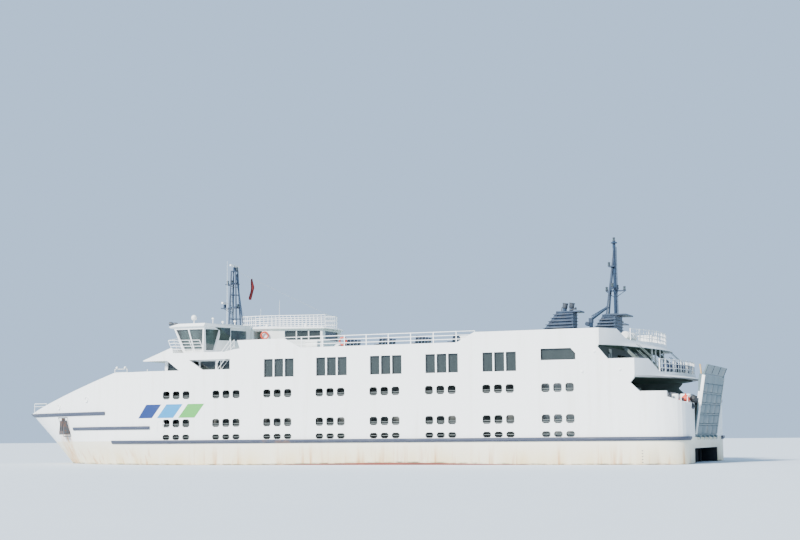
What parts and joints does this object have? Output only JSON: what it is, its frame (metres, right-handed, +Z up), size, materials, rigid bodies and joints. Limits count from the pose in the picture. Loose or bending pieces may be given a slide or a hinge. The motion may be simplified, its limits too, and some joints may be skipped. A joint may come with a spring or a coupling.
{
  "type": "ro-ro passenger ferry, 1:2 scale model",
  "caption": "White drive-on ro-ro passenger ferry with open-sided vehicle deck, stern ramp, lounge deck, full-width wheelhouse, louvred funnels and lattice masts.",
  "frame": {"origin": "amidships on the centreline at the waterline", "axes": "+X to the bow, +Y to port, +Z up"},
  "size_m": [30.7923, 8.96, 10.025],
  "materials": {
    "white_paint": "gloss marine paint, lightly weathered",
    "hull_paint": "stained white paint with rust runs, red-brown below the waterline",
    "strake_paint": "scuffed satin paint",
    "deck_paint": "matt non-slip deck paint",
    "window_glass": "tinted",
    "funnel_paint": "satin paint",
    "ramp_steel": "worn satin paint over steel",
    "bronze": "cast and ground bronze",
    "dark_iron": "rusting dark paint"
  },
  "bodies": {
    "ship": {"hull": "hull_paint", "bow_shell": "white_paint", "lower_side_port": "white_paint", "lower_side_starboard": "white_paint", "stern_quarter_port": "white_paint", "stern_quarter_starboard": "white_paint", "bow_strake": "strake_paint", "middle_strake_port": "strake_paint", "middle_strake_starboard": "strake_paint", "main_strake_port": "strake_paint", "main_strake_starboard": "strake_paint", "passenger_deck": "deck_paint", "sun_deck": "deck_paint", "passenger_deck_edge": "white_paint", "sun_deck_edge": "white_paint", "upper_side_port": "white_paint", "upper_side_starboard": "white_paint", "side_glass_port": "window_glass", "side_glass_starboard": "window_glass", "canopy": "white_paint", "lounge_front": "white_paint", "lounge_front_glass": "window_glass", "lounge_aft": "white_paint", "wheelhouse": "white_paint", "wheelhouse_wing_port": "white_paint", "wheelhouse_wing_starboard": "white_paint", "wheelhouse_glass": "window_glass", "wheelhouse_roof": "white_paint", "deckhouse": "white_paint", "deckhouse_glass": "window_glass", "deckhouse_roof": "white_paint", "funnel_port": "funnel_paint", "funnel_starboard": "funnel_paint", "funnel_middle": "funnel_paint", "engine_casing_port": "white_paint", "engine_casing_starboard": "white_paint", "fore_mast": "funnel_paint", "aft_mast": "funnel_paint", "crane_post": "funnel_paint", "anchor_port": "dark_iron", "anchor_starboard": "dark_iron", "side_rail_port": "white_paint", "side_rail_starboard": "white_paint", "sun_deck_rail": "white_paint", "passenger_deck_rail": "white_paint"},
    "ramp": {"stern_ramp": "ramp_steel"},
    "flap": {"ramp_flap": "ramp_steel"},
    "propeller_port": {"propeller_port": "bronze"},
    "propeller_starboard": {"propeller_starboard": "bronze"},
    "rudder_port": {"rudder_port": "hull_paint"},
    "rudder_starboard": {"rudder_starboard": "hull_paint"},
    "radar_upper": {"radar_upper": "white_paint"},
    "radar_lower": {"radar_lower": "white_paint"},
    "crane_head": {"crane_head": "funnel_paint"},
    "crane_boom": {"crane_boom": "funnel_paint"},
    "door_port": {"lounge_door_port": "white_paint"},
    "door_starboard": {"lounge_door_starboard": "white_paint"}
  },
  "joints": [
    {"name": "ramp_lower", "type": "hinge", "parent": "ship", "child": "ramp", "pos_m": [-15.155, 0, 0.89], "axis": [0, -1, 0], "range_deg": [0, 90]},
    {"name": "flap_tilt", "type": "hinge", "parent": "ramp", "child": "flap", "pos_m": [-15.44506, 0, 3.25438], "axis": [0, -1, 0], "range_deg": [-14.5, 30]},
    {"name": "propeller_port_spin", "type": "hinge", "parent": "ship", "child": "propeller_port", "pos_m": [-12.56, 2, -1.1], "axis": [1, 0, 0], "continuous": true},
    {"name": "propeller_starboard_spin", "type": "hinge", "parent": "ship", "child": "propeller_starboard", "pos_m": [-12.56, -2, -1.1], "axis": [1, 0, 0], "continuous": true},
    {"name": "rudder_port_turn", "type": "hinge", "parent": "ship", "child": "rudder_port", "pos_m": [-13.25, 2, -0.51], "axis": [0, 0, 1], "range_deg": [-35, 35]},
    {"name": "rudder_starboard_turn", "type": "hinge", "parent": "ship", "child": "rudder_starboard", "pos_m": [-13.25, -2, -0.51], "axis": [0, 0, 1], "range_deg": [-35, 35]},
    {"name": "radar_upper_spin", "type": "hinge", "parent": "ship", "child": "radar_upper", "pos_m": [4.85, 0, 8.33], "axis": [0, 0, 1], "continuous": true},
    {"name": "radar_lower_spin", "type": "hinge", "parent": "ship", "child": "radar_lower", "pos_m": [5.31, 0, 6.74], "axis": [0, 0, 1], "continuous": true},
    {"name": "crane_slew", "type": "hinge", "parent": "ship", "child": "crane_head", "pos_m": [-11.375, 2.3, 5], "axis": [0, 0, 1], "range_deg": [-120, 120]},
    {"name": "crane_luff", "type": "hinge", "parent": "crane_head", "child": "crane_boom", "pos_m": [-11.375, 2.3, 5.315], "axis": [0, 1, 0], "range_deg": [-5, 45]},
    {"name": "door_port_open", "type": "hinge", "parent": "ship", "child": "door_port", "pos_m": [-12.04, 2.325, 3.7], "axis": [0, 0, -1], "range_deg": [0, 100]},
    {"name": "door_starboard_open", "type": "hinge", "parent": "ship", "child": "door_starboard", "pos_m": [-12.04, -2.325, 3.7], "axis": [0, 0, 1], "range_deg": [0, 100]}
  ]
}
